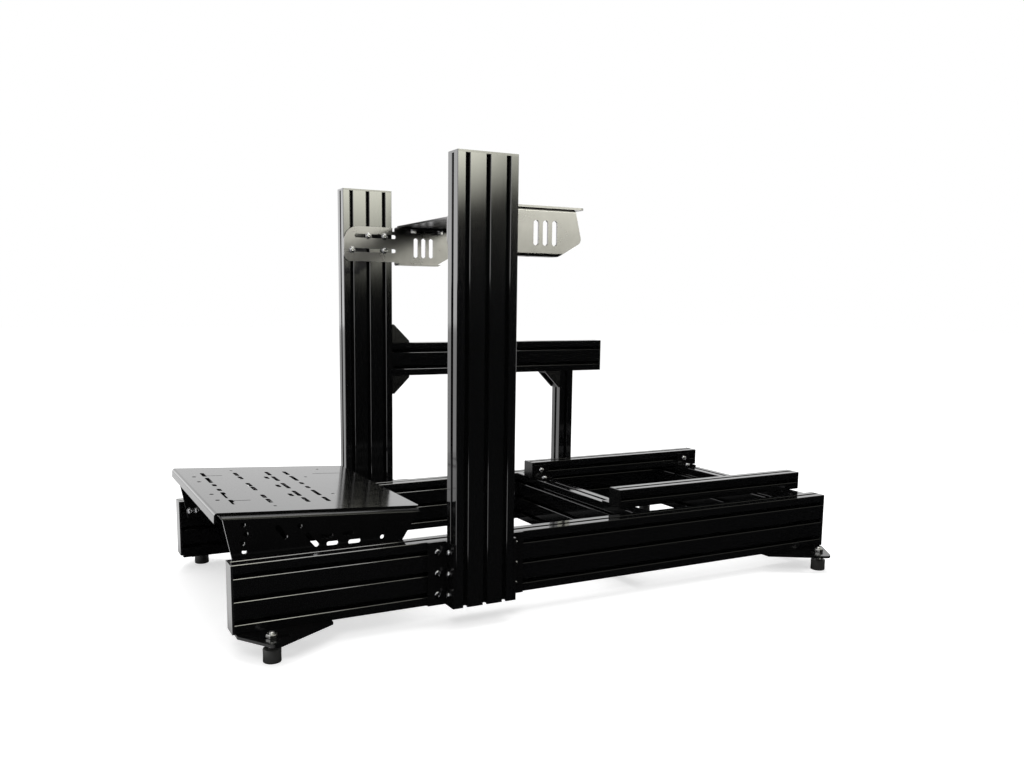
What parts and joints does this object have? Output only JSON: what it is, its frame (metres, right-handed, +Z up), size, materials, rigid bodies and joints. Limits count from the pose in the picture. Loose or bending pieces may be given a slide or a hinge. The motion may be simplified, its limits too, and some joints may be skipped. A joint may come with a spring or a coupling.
{
  "type": "sim racing cockpit frame",
  "caption": "Open driving-simulator frame of T-slot extrusions with a wheel deck, a sloping pedal plate, seat rails, a shifter arm and leveling feet.",
  "frame": {"origin": "on the floor under the middle of the whole rig", "axes": "+X from the pedal end to the seat end, +Y to the driver's right, +Z up"},
  "size_m": [1.3724, 0.73, 0.8565],
  "materials": {
    "anodised_aluminium": "black anodised, satin",
    "coated_steel": "black powder coat, fine texture",
    "cast_bracket": "black coated casting",
    "end_cap": "moulded, satin",
    "foot_rubber": "matt"
  },
  "bodies": {
    "root": {"base_rail_left": "anodised_aluminium", "base_rail_right": "anodised_aluminium", "upright_left": "anodised_aluminium", "upright_right": "anodised_aluminium", "seat_cross_member_front": "anodised_aluminium", "seat_cross_member_rear": "anodised_aluminium", "seat_rail_left": "anodised_aluminium", "seat_rail_right": "anodised_aluminium", "shifter_arm": "anodised_aluminium", "shifter_post": "anodised_aluminium", "upright_bracket_left_front": "coated_steel", "upright_bracket_left_rear": "coated_steel", "upright_bracket_right_front": "coated_steel", "upright_bracket_right_rear": "coated_steel", "seat_rail_bracket_left_front": "coated_steel", "seat_rail_bracket_left_rear": "coated_steel", "seat_rail_bracket_right_front": "coated_steel", "seat_rail_bracket_right_rear": "coated_steel", "wheel_deck_plate": "coated_steel", "wheel_side_plate_left": "coated_steel", "wheel_side_plate_right": "coated_steel", "pedal_plate": "coated_steel", "pedal_bracket_left": "coated_steel", "pedal_bracket_right": "coated_steel", "foot_plate_left_front": "coated_steel", "foot_plate_left_rear": "coated_steel", "foot_plate_right_front": "coated_steel", "foot_plate_right_rear": "coated_steel", "shifter_gusset_top": "cast_bracket", "shifter_gusset_bottom": "cast_bracket", "shifter_gusset_post": "cast_bracket", "base_rail_caps_left": "end_cap", "base_rail_caps_right": "end_cap", "upright_cap_left": "end_cap", "upright_cap_right": "end_cap", "seat_rail_caps_left": "end_cap", "seat_rail_caps_right": "end_cap", "shifter_arm_cap": "end_cap", "leveling_feet_left": "foot_rubber", "leveling_feet_right": "foot_rubber"}
  },
  "joints": []
}
